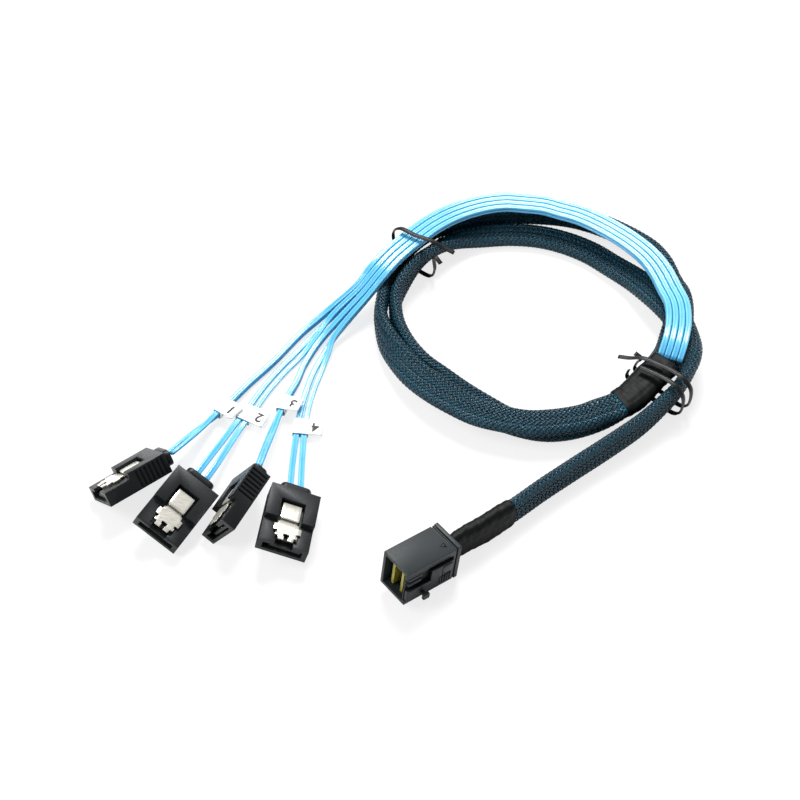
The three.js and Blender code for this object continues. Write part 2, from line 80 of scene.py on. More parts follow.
# Each row is a place on the route in metres and the turn of the section there in degrees.
TRUNK_ROUTE = [
    [0.0494, -0.0147, 0.006, 88], [0.0535, -0.0115, 0.0054, 88], [0.0585, -0.008, 0.0051, 88],
    [0.064, -0.004, 0.0051, 88], [0.069, 0, 0.005, 88], [0.076, 0.006, 0.0048, 88],
    [0.085, 0.013, 0.0048, 88], [0.095, 0.0205, 0.005, 88], [0.1055, 0.0285, 0.0058, 90],
    [0.113, 0.0355, 0.007, 94], [0.1176, 0.0407, 0.0076, 98], [0.1213, 0.0472, 0.0078, 110],
    [0.1225, 0.0542, 0.0077, 142], [0.1222, 0.062, 0.0071, 168], [0.121, 0.0695, 0.0068, 178],
    [0.1184, 0.075, 0.0069, 172], [0.1148, 0.0815, 0.006, 168], [0.11, 0.09, 0.0036, 174],
    [0.1035, 0.0975, 0.0023, 180], [0.0975, 0.103, 0.0022, 180], [0.09, 0.1075, 0.0022, 180],
    [0.0815, 0.1105, 0.0022, 180], [0.072, 0.1115, 0.0022, 180], [0.062, 0.1105, 0.0024, 180],
    [0.054, 0.1075, 0.0034, 198], [0.047, 0.1015, 0.0051, 228], [0.0415, 0.0945, 0.0062, 255],
    [0.0375, 0.0875, 0.0058, 268], [0.0348, 0.0805, 0.0048, 270], [0.0347, 0.074, 0.0048, 268],
    [0.0354, 0.068, 0.0048, 262], [0.037, 0.0625, 0.0047, 255], [0.0395, 0.057, 0.0045, 246],
    [0.043, 0.052, 0.0041, 234], [0.048, 0.0475, 0.0035, 218], [0.0535, 0.043, 0.0028, 202],
    [0.06, 0.0385, 0.0023, 188], [0.0675, 0.0335, 0.0022, 180], [0.076, 0.0305, 0.0022, 180],
    [0.0835, 0.0305, 0.0022, 180], [0.0915, 0.033, 0.0022, 180], [0.0985, 0.037, 0.0024, 180],
    [0.1045, 0.042, 0.0031, 180], [0.1095, 0.0475, 0.0037, 180], [0.1145, 0.054, 0.0031, 180],
    [0.118, 0.06, 0.0023, 180], [0.1205, 0.067, 0.0022, 180], [0.1225, 0.0735, 0.0022, 182],
    [0.1235, 0.0805, 0.0024, 190], [0.1235, 0.0865, 0.0034, 216], [0.122, 0.092, 0.0046, 254],
    [0.118, 0.0995, 0.0048, 268], [0.113, 0.105, 0.0048, 268], [0.106, 0.1104, 0.0048, 268],
    [0.098, 0.115, 0.0048, 268], [0.0895, 0.1179, 0.0048, 268], [0.0795, 0.119, 0.0048, 268],
    [0.07, 0.119, 0.0048, 268], [0.0605, 0.1177, 0.0048, 268], [0.0525, 0.1144, 0.005, 268],
    [0.045, 0.1095, 0.0056, 268], [0.039, 0.102, 0.0062, 268], [0.0345, 0.094, 0.0058, 268],
    [0.0315, 0.0865, 0.005, 268], [0.0305, 0.079, 0.0048, 268], [0.03, 0.073, 0.0049, 266],
    [0.031, 0.066, 0.0052, 256], [0.033, 0.06, 0.0057, 240], [0.0365, 0.0535, 0.0062, 222],
    [0.0405, 0.0475, 0.0065, 206], [0.0455, 0.042, 0.0067, 194], [0.0515, 0.037, 0.0068, 186],
    [0.0585, 0.0325, 0.0068, 182], [0.066, 0.03, 0.0068, 180], [0.0735, 0.0285, 0.0068, 180],
    [0.0815, 0.029, 0.0068, 180], [0.089, 0.0305, 0.0069, 180], [0.094, 0.0325, 0.0072, 180],
    [0.099, 0.0345, 0.0074, 180], [0.103, 0.037, 0.0078, 180], [0.107, 0.041, 0.0083, 180],
    [0.1105, 0.045, 0.0089, 180], [0.115, 0.0495, 0.0095, 180],
]


def in_mm(rows):
    """The same rows with their first three numbers, in metres, turned into millimetres."""
    rows = np.array(rows, float)
    rows[:, :3] /= MM
    return rows


# How many steps a smooth line has from each row to the next.
DENSE = 40


def smooth_line(rows, knots=0.0):
    """A cubic between each two rows. Its slope at a row is the mean of the slopes of the two
    chords there, weighted by knot steps that are the chord's length to the power knots. Beyond
    each end a row is added that carries the last chord on."""
    rows = np.asarray(rows, float)
    rows = np.vstack([2 * rows[0] - rows[1], rows, 2 * rows[-1] - rows[-2]])
    chord = np.diff(rows, axis=0)
    step = np.linalg.norm(chord[:, :3], axis=1)[:, None] ** knots
    before, here, after = step[:-2], step[1:-1], step[2:]
    bend = chord / step
    leave = here * (bend[:-2] + bend[1:-1] - (chord[:-2] + chord[1:-1]) / (before + here))
    arrive = here * (bend[1:-1] + bend[2:] - (chord[1:-1] + chord[2:]) / (here + after))
    first, across = rows[1:-2, None], chord[1:-1, None]
    leave, arrive = leave[:, None], arrive[:, None]
    t = np.linspace(0, 1, DENSE, endpoint=False)[None, :, None]
    curve = first + leave * t + (3 * across - 2 * leave - arrive) * t**2
    curve = curve + (leave + arrive - 2 * across) * t**3
    return np.vstack([curve.reshape(-1, rows.shape[1]), rows[-2:-1]])


def unit(v):
    """The same directions, each of length 1."""
    return v / np.linalg.norm(v, axis=-1, keepdims=True)


def reach_of(line):
    """How far along the line each of its points is."""
    return np.r_[0, np.cumsum(np.linalg.norm(np.diff(line[:, :3], axis=0), axis=1))]


class Lay:
    """A stretch of a smooth line at even steps, with the directions along it, across the wide
    side of its section and through the thin side. The wide side is level and to the left of the
    line, turned about it by the line's own degrees."""

    def __init__(self, line, start, end, step):
        reach = reach_of(line)
        count = max(2, round((end - start) / step)) + 1
        self.at = np.linspace(start, end, count)
        self.place = self.sample(reach, line[:, :3])
        self.along = unit(self.sample(reach, np.gradient(line[:, :3], axis=0)))
        turn = np.radians(np.interp(self.at, reach, line[:, 3]))[:, None]
        level = np.stack([-self.along[:, 1], self.along[:, 0], 0 * self.at], 1)
        left = unit(level)
        self.wide = left * np.cos(turn) + np.cross(self.along, left) * np.sin(turn)
        self.thin = np.cross(self.along, self.wide)

    def sample(self, reach, values):
        """The values at the stations, read off between the line's own points."""
        return np.stack([np.interp(self.at, reach, values[:, k]) for k in range(3)], 1)

    def rings(self, across, through):
        """Rings of points in metres. across and through are millimetres along wide and thin,
        with one row for the whole stretch or one row per station."""
        across, through = (np.asarray(a, float)[..., None] for a in (across, through))
        place = self.place[:, None] + across * self.wide[:, None] + through * self.thin[:, None]
        return (place - MIDDLE) * MM

    def path(self):
        """The line itself as a list of points in metres."""
        return ((self.place - MIDDLE) * MM).tolist()

    def picked(self, rows):
        """The same stretch with only the given stations, in the given order."""
        part = copy.copy(self)
        for name, values in vars(self).items():
            setattr(part, name, values[rows])
        return part


def shade(mesh, sharp=None):
    """Smooth shading, but for edges that turn by more than the given degrees."""
    mesh.polygons.foreach_set("use_smooth", np.ones(len(mesh.polygons), bool))
    if sharp:
        mesh.set_sharp_from_angle(angle=math.radians(sharp))


def skin(name, rings, body="cable", closed=True, sharp=None):
    """A mesh over rings[tube, station, side, xyz], each joined to its neighbours along and
    around. A closed ring joins its last side to its first, and the first and last rings of each
    tube become its end faces. U is the distance along a tube in metres, and V is the share of
    the way round it."""
    rings = np.asarray(rings, float)
    if rings.ndim == 3:
        rings = rings[None]
    tubes, stations, sides = rings.shape[:3]
    index = np.arange(tubes * stations * sides).reshape(tubes, stations, sides)
    beyond = np.roll(index, -1, axis=2) if closed else index[:, :, 1:]
    own = index if closed else index[:, :, :-1]
    quads = np.stack([own[:, :-1], beyond[:, :-1], beyond[:, 1:], own[:, 1:]], -1)
    faces = quads.reshape(-1, 4).tolist()
    if closed:
        faces += index[:, 0, ::-1].tolist() + index[:, -1].tolist()
    mesh = bpy.data.meshes.new(name)
    mesh.from_pydata(rings.reshape(-1, 3).tolist(), [], faces)
    spans = np.linalg.norm(np.diff(rings.mean(2), axis=1), axis=2)
    far = np.concatenate([np.zeros((tubes, 1)), np.cumsum(spans, 1)], 1)
    u = np.repeat(far[:, :, None], sides, 2).reshape(-1)
    v = np.broadcast_to(np.arange(sides) / sides, index.shape).reshape(-1)
    corner = np.empty(len(mesh.loops), int)
    mesh.loops.foreach_get("vertex_index", corner)
    flat = np.stack([u[corner], v[corner]], 1)
    if closed:
        # A face that goes from the last side to the first ends at V = 1.
        on_quads = flat[: quads.size].reshape(-1, 4, 2)
        seam = on_quads[:, 0, 1] > on_quads[:, 1, 1]
        on_quads[seam, 1, 1] = on_quads[seam, 2, 1] = 1.0
    mesh.uv_layers.new(name="UVMap").data.foreach_set("uv", flat.reshape(-1))
    shade(mesh, sharp)
    piece = placed(name, mesh)
    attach(piece, body)
    return piece


class Flow:
    """A socket in a material. Arithmetic on it adds the Math node that does it."""

    def __init__(self, finish, socket):
        self.finish, self.socket = finish, socket

    def maths(self, operation, *others):
        return self.finish.add("Math", {"operation": operation}, [self, *others])

    def __add__(self, other):
        return self.maths("ADD", other)

    def __mul__(self, other):
        return self.maths("MULTIPLY", other)

    def __pow__(self, other):
        return self.maths("POWER", other)

    __radd__, __rmul__ = __add__, __mul__

    def sin(self):
        return self.maths("SINE")

    def held(self):
        """The value kept between 0 and 1."""
        return self.finish.add("Clamp", {}, [self])


GRAIN_ROUGHNESS = 0.55


class Finish:
    """A material that is being made, with its nodes and its one surface shader."""

    def __init__(self, name):
        self.material = bpy.data.materials.new(name)
        self.material.use_nodes = True
        self.nodes = self.material.node_tree.nodes
        self.shader = self.nodes["Principled BSDF"]

    def add(self, kind, settings, values=(), out=0):
        """Adds a node: its settings first, then values or flows to its sockets by place or
        name. Returns the flow from its output."""
        node = self.nodes.new("ShaderNode" + kind)
        for key, value in settings.items():
            setattr(node, key, value)
        pairs = values.items() if isinstance(values, dict) else enumerate(values)
        for key, value in pairs:
            self.join(value, node.inputs[key])
        return Flow(self, node.outputs[out])

    def join(self, value, socket):
        """Links a flow to a socket, or sets a plain value on it."""
        if isinstance(value, Flow):
            self.material.node_tree.links.new(value.socket, socket)
        else:
            socket.default_value = value

    def grain(self, scale, detail=3.0, stretch=(1, 1, 1)):
        """Soft noise in the piece's own place, scale being blobs to a metre."""
        place = self.add("TexCoord", {}, out="Object")
        spot = self.add("Mapping", {}, {"Vector": place, "Scale": stretch})
        return self.add("TexNoise", {}, {"Vector": spot, "Scale": scale, "Detail": detail,
                                         "Roughness": GRAIN_ROUGHNESS})

    def around(self):
        """The share of the way round a swept piece."""
        uv = self.add("UVMap", {"uv_map": "UVMap"})
        return self.add("SeparateXYZ", {}, [uv], "Y")

    def blend(self, factor, low, high):
        """From colour low, where factor is 0, to colour high, where it is 1."""
        return self.add("Mix", {"data_type": "RGBA"}, {0: factor, 6: low, 7: high}, 2)

    def bump(self, height, depth, under=None):
        """A bump of height, depth in metres, over what is under it."""
        values = {"Height": height, "Distance": depth, "Strength": 1.0}
        if under is not None:
            values["Normal"] = under
        return self.add("Bump", {}, values)

    def done(self, **sockets):
        """Sets or links the shader's own sockets by name, and returns the material."""
        for key, value in sockets.items():
            self.join(value, self.shader.inputs[key.replace("_", " ")])
        return self.material


def ink(code):
    """A colour written as it shows on a screen, in the linear values that a shader takes."""
    parts = np.array([int(code[i : i + 2], 16) for i in (1, 3, 5)]) / 255
    linear = np.where(parts <= 0.04045, parts / 12.92, ((parts + 0.055) / 1.055) ** 2.4)
    return (*linear.tolist(), 1.0)


def wear(piece, material):
    """The piece in its finish."""
    piece.data.materials.clear()
    piece.data.materials.append(material)
    return piece


TRUNK_LINE = smooth_line(in_mm(TRUNK_ROUTE))
TRUNK_WHOLE = reach_of(TRUNK_LINE)[-1]
SLEEVE_FROM = HOST_SHRINK_LENGTH + CLEAR
SLEEVE_TO = TRUNK_WHOLE - BREAKOUT_SHRINK_LENGTH - CLEAR

PACK_SIZE = (8.3, 3.3)
PACK_SIDES = 48
PACK_STEP = 1.5
LANES = 4


def full_turn(sides):
    """Even angles once round, in radians."""
    return np.linspace(0, 2 * np.pi, sides, endpoint=False)


def lobed(width, thickness, turn, dip=0.2):
    """A flat round-ended section whose broad sides rise over each of the four ribbon lanes:
    an oval made squarer, with its height cut back where two lanes meet."""
    c, s = np.cos(turn), np.sin(turn)
    across = width / 2 * np.sign(c) * np.abs(c) ** 0.8
    lane = LANES / 2 * (1 + across / (width / 2))
    high = 1 - dip * np.cos(np.pi * lane) ** 8
    return across, thickness / 2 * np.sign(s) * np.abs(s) ** 0.75 * high


trunk = Lay(TRUNK_LINE, 0, TRUNK_WHOLE, PACK_STEP)
pack = skin("sleeved_ribbon_pack", trunk.rings(*lobed(*PACK_SIZE, full_turn(PACK_SIDES))))

# The braid: sixteen flat bundles of filament wind each way round the pack, over one and under
# the next, with the blue of the ribbons showing through its meshes.

BRAID_SIZE = (8.85, 3.85)
BUNDLES = 16
BRAID_LAY = 25.0
BUNDLE_SIZE = (0.66, 0.17)
BUNDLE_WAVE = 0.13
THREADS = 6
# A very small turn in radians, which shows the way that the section runs at a bundle.
HAIR = 0.01
BRAID_STEP = BRAID_LAY / (4 * BUNDLES)
BRAID_CUTS = {"braid_host_run": (0.0, 0.33), "braid_inner_turn": (0.33, 0.66),
              "braid_outer_turn": (0.66, 1.0)}


def even_turns(width, thickness, count=720):
    """The section's angles at even steps of the way round it, as a lookup from share to angle."""
    angle = np.linspace(0, 2 * np.pi, count + 1)
    across, through = lobed(width, thickness, angle)
    far = np.r_[0, np.cumsum(np.hypot(np.diff(across), np.diff(through)))]
    return far / far[-1], angle


def braid(lay, from_start):
    """Flat bundles on the section. Bundle k of the right-hand set is at the share k / bundles of
    the way round plus the distance over the lay, and the left-hand set runs the other way. Their
    heights over the section are plus and minus a cosine that changes sign at each crossing."""
    share, angle = even_turns(*BRAID_SIZE)
    tubes = []
    for hand in (1, -1):
        phase = from_start / BRAID_LAY
        for k in range(BUNDLES):
            spin = (k / BUNDLES + hand * phase) % 1
            lift = hand * BUNDLE_WAVE * np.cos(2 * np.pi * BUNDLES * phase)
            turn = np.interp(spin, share, angle)
            y, z = lobed(*BRAID_SIZE, turn)
            y1, z1 = lobed(*BRAID_SIZE, turn + HAIR)
            round_it = unit(np.stack([y1 - y, z1 - z], 1))
            out = np.stack([round_it[:, 1], -round_it[:, 0]], 1)
            centre = lay.place + (y + lift * out[:, 0])[:, None] * lay.wide
            centre = centre + (z + lift * out[:, 1])[:, None] * lay.thin
            go = unit(np.gradient(centre, axis=0))
            outward = out[:, :1] * lay.wide + out[:, 1:] * lay.thin
            side = unit(np.cross(outward, go))
            flat, thick = BUNDLE_SIZE[0] / 2, BUNDLE_SIZE[1] / 2
            ring = [centre - flat * side, centre + thick * outward, centre + flat * side,
                    centre - thick * outward]
            tubes.append((np.stack(ring[::-1], 1) - MIDDLE) * MM)
    return np.stack(tubes)


filament = Finish("braid filament")
threads = (filament.around() * (2 * math.pi * THREADS)).sin()
speck = filament.grain(900, detail=2)
tint = filament.blend(speck, ink("#060f13"), ink("#164a5d"))
filament_bump = filament.bump(threads, 0.02 * MM)
braid_finish = filament.done(Base_Color=tint, Roughness=0.36, Specular_IOR_Level=0.4,
                             Normal=filament_bump)

sleeved = Finish("ribbons under the braid")
haze = sleeved.grain(300)
sleeved_finish = sleeved.done(Base_Color=sleeved.blend(haze, ink("#1b6d8f"), ink("#4cb8de")),
                              Roughness=0.35, Normal=sleeved.bump(haze, 0.05 * MM))
wear(pack, sleeved_finish)

SLEEVE_LENGTH = SLEEVE_TO - SLEEVE_FROM
for name, (low, high) in BRAID_CUTS.items():
    lay = Lay(TRUNK_LINE, SLEEVE_FROM + low * SLEEVE_LENGTH, SLEEVE_FROM + high * SLEEVE_LENGTH,
              BRAID_STEP)
    piece = skin(name, braid(lay, lay.at - SLEEVE_FROM))
    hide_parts("braided_sleeve")
    wear(piece, braid_finish)
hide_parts("braided_sleeve")

# The two heat-shrink sleeves: soft black tube shrunk over the ends of the braid. It takes up
# the lumps of what is inside and has a thin open rim at each end.

SHRINK_SIZE = (9.8, 4.9)
SHRINK_WALL = 0.55
SHRINK_SIDES = 64
SHRINK_STEP = 0.4
SHRINK_DIP = 0.04
RIM_DEPTH = 1.2
RIM_ROUND = 0.12
# Each wave of the wrinkles: its height, its waves round the tube and its radians to a
# millimetre. It counts for these shares of the tube's width and of its thickness.
WRINKLES = [(0.05, 3, 0.55), (0.035, 5, 1.7), (0.03, -2, 3.1)]
WRINKLE_WIDE, WRINKLE_THICK = 0.25, 0.5


def shrink_tube(name, start, end, swell, node):
    """A tube on the trunk's line. Its width and height follow swell, a list of shares of the
    length and factors, and small waves in two directions make its wrinkles. It turns in at each
    end with a round rim and comes back inside by the rim's depth."""
    lay = Lay(TRUNK_LINE, start, end, SHRINK_STEP)
    share = (lay.at - start) / (end - start)
    grow = np.interp(share, *np.array(swell).T)[:, None]
    angle, far = full_turn(SHRINK_SIDES)[None], lay.at[:, None]
    ripple = sum(high * np.sin(waves * angle + pace * far) for high, waves, pace in WRINKLES)
    across, through = lobed(*SHRINK_SIZE, angle, SHRINK_DIP)
    across = across * (grow + WRINKLE_WIDE * ripple)
    through = through * (grow + WRINKLE_THICK * ripple)
    last, rim = len(lay.at) - 1, round(RIM_DEPTH / SHRINK_STEP)
    inside = np.full(rim + 1, SHRINK_WALL)
    inset = np.r_[inside, RIM_ROUND, np.zeros(last - 1), RIM_ROUND, inside]
    order = np.r_[np.arange(rim, -1, -1), np.arange(last + 1),
                  np.arange(last, last - rim - 1, -1)]
    keep = 1 - inset[:, None] / np.hypot(across, through)[order]
    rings = lay.picked(order).rings(across[order] * keep, through[order] * keep)
    piece = skin(name, rings, sharp=70)
    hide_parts(node)
    return piece


rubber = Finish("heat shrink")
dust = rubber.grain(700, detail=4)
crease = rubber.grain(160)
rubber_bump = rubber.bump(dust, 0.03 * MM, rubber.bump(crease, 0.25 * MM))
shrink_finish = rubber.done(Base_Color=rubber.blend(dust, ink("#040505"), ink("#0c0e0f")),
                            Roughness=dust * 0.2 + 0.45, Specular_IOR_Level=0.14,
                            Normal=rubber_bump)
host_shrink = shrink_tube("host_shrink_tube", 0, HOST_SHRINK_LENGTH,
                          [[0, 0.9], [0.12, 0.97], [0.6, 1.04], [0.85, 1.03], [1, 0.99]],
                          "host_heat_shrink")
breakout_shrink = shrink_tube("breakout_shrink_tube", TRUNK_WHOLE - BREAKOUT_SHRINK_LENGTH,
                              TRUNK_WHOLE, [[0, 1.0], [0.3, 1.02], [0.8, 1.0], [1, 0.97]],
                              "breakout_heat_shrink")
for piece in (host_shrink, breakout_shrink):
    wear(piece, shrink_finish)

tuple(trunk.path()[0])
trunk.path()

# The eight ribbons: each is two fine conductors side by side in a sky-blue jacket. They leave
# the breakout shrink in four lanes of two layers, and each lane ends in one drive plug.

RIBBON_SIZE = (1.8, 1.0)
RIBBON_SIDES = 20
LANE = 1.95
LAYER = 1.15
OUT_OF_SHRINK = 1.8
RIBBON_STEP = 1.2

# The middle of the pack of ribbons, from the breakout shrink to the left tie.
PACK_ROUTE = [
    [0.117, 0.0525, 0.0109], [0.1185, 0.057, 0.0122], [0.12, 0.0635, 0.0122],
    [0.1205, 0.0715, 0.0116], [0.119, 0.0785, 0.0112], [0.117, 0.086, 0.0111],
    [0.114, 0.0925, 0.0111], [0.1095, 0.0985, 0.0111], [0.1045, 0.1035, 0.0111],
    [0.099, 0.108, 0.0111], [0.0935, 0.1115, 0.0111], [0.0875, 0.114, 0.0111],
    [0.0825, 0.116, 0.0111], [0.076, 0.117, 0.0111], [0.0695, 0.1175, 0.0111],
    [0.062, 0.116, 0.0111], [0.0535, 0.112, 0.0113], [0.046, 0.106, 0.0118],
    [0.039, 0.098, 0.0124], [0.0335, 0.0915, 0.0123], [0.029, 0.0855, 0.0113],
    [0.024, 0.08, 0.0082],
]

# Beyond it each lane is a lead: place in metres, turn of its two ribbons in degrees, and how
# far they lie side by side and one over the other, in millimetres.
LEAD_ROUTES = [
    [
        [0.0155, 0.0785, 0.0034, 0, 0, 1.2], [0.01, 0.0735, 0.0018, 0, 0, 1.2],
        [0.005, 0.068, 0.0012, 0, 0, 1.2], [-0.0025, 0.057, 0.0012, 0, 0, 1.2],
        [-0.0095, 0.048, 0.0013, 0, 0, 1.2], [-0.0145, 0.0405, 0.0018, 0, 0, 1.2],
        [-0.0185, 0.035, 0.0024, 0, 0.2, 1.2], [-0.0214, 0.0302, 0.0036, 12, 1.4, 0.9],
        [-0.024, 0.0256, 0.0052, 26, 2.3, 0.3], [-0.0269, 0.0209, 0.0065, 35, 2.8, 0],
        [-0.0298, 0.0171, 0.007, 38, 3, 0],
    ],
    [
        [0.0155, 0.075, 0.0032, 0, 0, 1.2], [0.01, 0.068, 0.0016, 0, 1.4, 0.9],
        [0.005, 0.0605, 0.0008, 0, 2.1, 0], [0, 0.0535, 0.0007, 0, 2.1, 0],
        [-0.0045, 0.046, 0.0008, 0, 2.1, 0], [-0.008, 0.0385, 0.0012, 0, 2.1, 0],
        [-0.0115, 0.0315, 0.0018, -6, 2.1, 0], [-0.0145, 0.0235, 0.0034, -14, 2.4, 0],
        [-0.0172, 0.016, 0.0052, -22, 2.8, 0], [-0.0202, 0.0095, 0.0058, -26, 3, 0],
    ],
    [
        [0.016, 0.071, 0.0032, 0, 0, 1.2], [0.011, 0.0645, 0.0016, 0, 0, 1.2],
        [0.007, 0.056, 0.0012, 0, 0, 1.2], [0.005, 0.049, 0.0013, 0, 0, 1.2],
        [0.0022, 0.0415, 0.0018, 0, 0, 1.2], [0.0002, 0.0345, 0.0026, 8, 0.6, 1.15],
        [-0.0013, 0.0265, 0.0046, 28, 1.8, 0.7], [-0.0027, 0.0185, 0.0068, 48, 2.7, 0.2],
        [-0.0043, 0.0109, 0.0077, 56, 3, 0],
    ],
    [
        [0.0165, 0.067, 0.003, 0, 0, 1.2], [0.0135, 0.0605, 0.0014, 0, 1.4, 0.9],
        [0.011, 0.0535, 0.0008, 0, 2.1, 0], [0.009, 0.046, 0.0008, 0, 2.1, 0],
        [0.0076, 0.038, 0.0011, 0, 2.1, 0], [0.0069, 0.0295, 0.0015, -4, 2.2, 0],
        [0.0067, 0.022, 0.0026, -10, 2.5, 0], [0.0066, 0.014, 0.004, -16, 2.8, 0],
        [0.0066, 0.0059, 0.0051, -18, 3, 0],
    ],
]
LEADS = [in_mm(rows) for rows in LEAD_ROUTES]


def beside(rows, across, over, turn):
    """The rows moved sideways and up from the line through their neighbours, the sideways
    direction being level and to the left of it, turned about it."""
    spot = np.clip(np.arange(len(rows))[:, None] + [-1, 1], 0, len(rows) - 1)
    along = unit(rows[spot[:, 1], :3] - rows[spot[:, 0], :3])
    left = unit(np.stack([-along[:, 1], along[:, 0], 0 * across], 1))
    turned = np.radians(turn)[:, None]
    wide = left * np.cos(turned) + np.cross(along, left) * np.sin(turned)
    place = rows[:, :3] + across[:, None] * wide + over[:, None] * np.cross(along, wide)
    return np.column_stack([place, turn])


def ribbon_line(lane, layer):
    """A ribbon's line: its own lane and layer in the pack, then its side of the lead."""
    before, end = in_mm(TRUNK_ROUTE)[-2:, :3]
    pack_rows = np.vstack([end + OUT_OF_SHRINK * unit(end - before), in_mm(PACK_ROUTE)])
    lead, side = LEADS[lane], layer - 0.5
    rows = np.vstack([pack_rows, lead[:, :3]])
    count = len(pack_rows)
    across = np.r_[np.full(count, (lane - 1.5) * LANE), side * lead[:, 4]]
    over = np.r_[np.full(count, side * LAYER), side * lead[:, 5]]
    turn = np.r_[np.zeros(count), lead[:, 3]]
    return smooth_line(beside(rows, across, over, turn))


def twin(width, thickness, turn):
    """The section of a ribbon: an oval made squarer, with a groove along the middle of both
    broad sides between its two conductors."""
    c, s = np.cos(turn), np.sin(turn)
    across = width / 2 * np.sign(c) * np.abs(c) ** 0.85
    groove = 1 - 0.3 * np.exp(-((across / (0.16 * width)) ** 2))
    return across, thickness / 2 * np.sign(s) * np.abs(s) ** 0.7 * groove


jacket = Finish("ribbon jacket")
cloud = jacket.grain(120, detail=2)
# Painted shade: both broad sides are darker in the groove between the two conductors and at the
# narrow edges, and paler along the middle of each conductor.
core = (jacket.around() * (4 * math.pi)).sin() ** 2
# Random cloud mixed half and half with that painted shade.
tone_and_painted_shade = (cloud * 0.5 + core * 0.5).held()
ribbon_finish = jacket.done(Base_Color=jacket.blend(tone_and_painted_shade, ink("#2a8fc6"), ink("#74cdf3")),
                            Roughness=0.28, Coat_Weight=0.5, Coat_Roughness=0.12,
                            Normal=jacket.bump(cloud, 0.05 * MM))

ribbons = {}
for lane in range(LANES):
    for layer, level in enumerate(("lower", "upper")):
        line = ribbon_line(lane, layer)
        lay = Lay(line, 0, reach_of(line)[-1], RIBBON_STEP)
        name = f"drive_{lane + 1}_ribbon_{level}"
        section = twin(*RIBBON_SIZE, full_turn(RIBBON_SIDES))
        piece = skin(f"{name}_jacket", lay.rings(*section))
        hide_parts(name)
        ribbons[lane, layer] = wear(piece, ribbon_finish), lay

# The labels: a strip of white paper folded round each lead, its two ends stuck together as a
# flag, with the plain number of the lead on the flag.

LABEL_LENGTH = 6.0
LABEL_FIN = 4.2
LABEL_STEP = 0.75
LABEL_SLACK = (0.25, 0.2)
PAPER = 0.14
# Where each label is on its lead, in rows of the lead's route.
LABEL_ROWS = [5.4, 5.3, 4.3, 4.8]

# The number's height, how deep and how bold it is as shares of that, and the place of its
# middle: out from the side of the lead and up from its top.
NUMBER_SIZE = 4.6
NUMBER_DEPTH = 0.012
NUMBER_BOLD = 0.018
NUMBER_OUT, NUMBER_UP = 1.9, 0.25


def paper_path(half_width, half_height):
    """The strip's path round the lead, from the tip of the flag over the lead and back under
    it to the tip, with rounded corners of one paper's thickness."""
    a, b, tip = half_width, half_height, half_width + LABEL_FIN
    points = [(tip, b + 0.1), (a + 2.8, b + 0.16), (a + 1.4, b + 0.14), (a + 0.3, b + 0.1),
              (a - 0.3, b + 0.1), (0, b + 0.1), (0.3 - a, b + 0.1), (-a, b + 0.02),
              (-a - 0.08, b - 0.2), (-a - 0.08, 0), (-a - 0.08, 0.2 - b), (-a, -b - 0.02),
              (0.3 - a, -b - 0.1), (0, -b - 0.1), (a - 0.3, -b - 0.1), (a, -b - 0.02),
              (a + 0.08, 0.2 - b), (a + 0.08, 0), (a + 0.12, b - 0.24), (a + 0.4, b - 0.08),
              (a + 1.4, b - 0.04), (a + 2.8, b - 0.02), (tip, b - 0.08)]
    return np.array(points).T


paper = Finish("label paper")
fibre = paper.grain(1500, detail=4)
paper_finish = paper.done(Base_Color=paper.blend(fibre, ink("#f1f1ee"), ink("#fbfbf9")),
                          Roughness=0.75, Normal=paper.bump(fibre, 0.02 * MM))
black = Finish("label ink")
blot = black.grain(2500, detail=2)
ink_finish = black.done(Base_Color=black.blend(blot, ink("#0c0c0d"), ink("#1a1a1c")),
                        Roughness=0.6)

labels = []
for lane, lead in enumerate(LEADS):
    line = smooth_line(lead[:, :4])
    middle = reach_of(line)[round(LABEL_ROWS[lane] * DENSE)]
    lay = Lay(line, middle - LABEL_LENGTH / 2, middle + LABEL_LENGTH / 2, LABEL_STEP)
    apart, over = lead[int(LABEL_ROWS[lane]), 4:]
    half = (apart + RIBBON_SIZE[0]) / 2 + LABEL_SLACK[0]
    high = (over + RIBBON_SIZE[1]) / 2 + LABEL_SLACK[1]
    strip = lay.rings(*paper_path(half, high))
    flag = skin(f"drive_{lane + 1}_paper_label", strip[:, ::-1], closed=False)
    wall = flag.modifiers.new("paper", "SOLIDIFY")
    wall.thickness, wall.offset = PAPER * MM, 0
    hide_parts(f"drive_{lane + 1}_label")
    wear(flag, paper_finish)

    writing = bpy.data.curves.new(f"drive_{lane + 1}_number", "FONT")
    writing.body, writing.size = str(lane + 1), 1.0
    writing.extrude, writing.offset = NUMBER_DEPTH, NUMBER_BOLD
    writing.align_x, writing.align_y = "CENTER", "CENTER"
    proxy = placed("writing", writing)
    bpy.context.view_layer.update()
    shape = bpy.data.meshes.new_from_object(proxy)
    bpy.data.objects.remove(proxy)
    flat = np.empty(len(shape.vertices) * 3)
    shape.vertices.foreach_get("co", flat)
    flat = flat.reshape(-1, 3) * NUMBER_SIZE
    mid = len(lay.at) // 2
    along, wide, thin = lay.along[mid], lay.wide[mid], lay.thin[mid]
    spot = lay.place[mid] + (half + NUMBER_OUT) * wide + (high + NUMBER_UP) * thin
    put = spot - flat[:, :1] * wide + flat[:, 1:2] * along + flat[:, 2:] * thin
    shape.vertices.foreach_set("co", ((put - MIDDLE) * MM).reshape(-1))
    shape.name = f"drive_{lane + 1}_label_number"
    number = placed(shape.name, shape)
    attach(number, "cable")
    labels.append([flag, wear(number, ink_finish)])

# The two twist ties: flat black plastic tape with a wire in it, wound round the bundle, with
# its ends standing off.

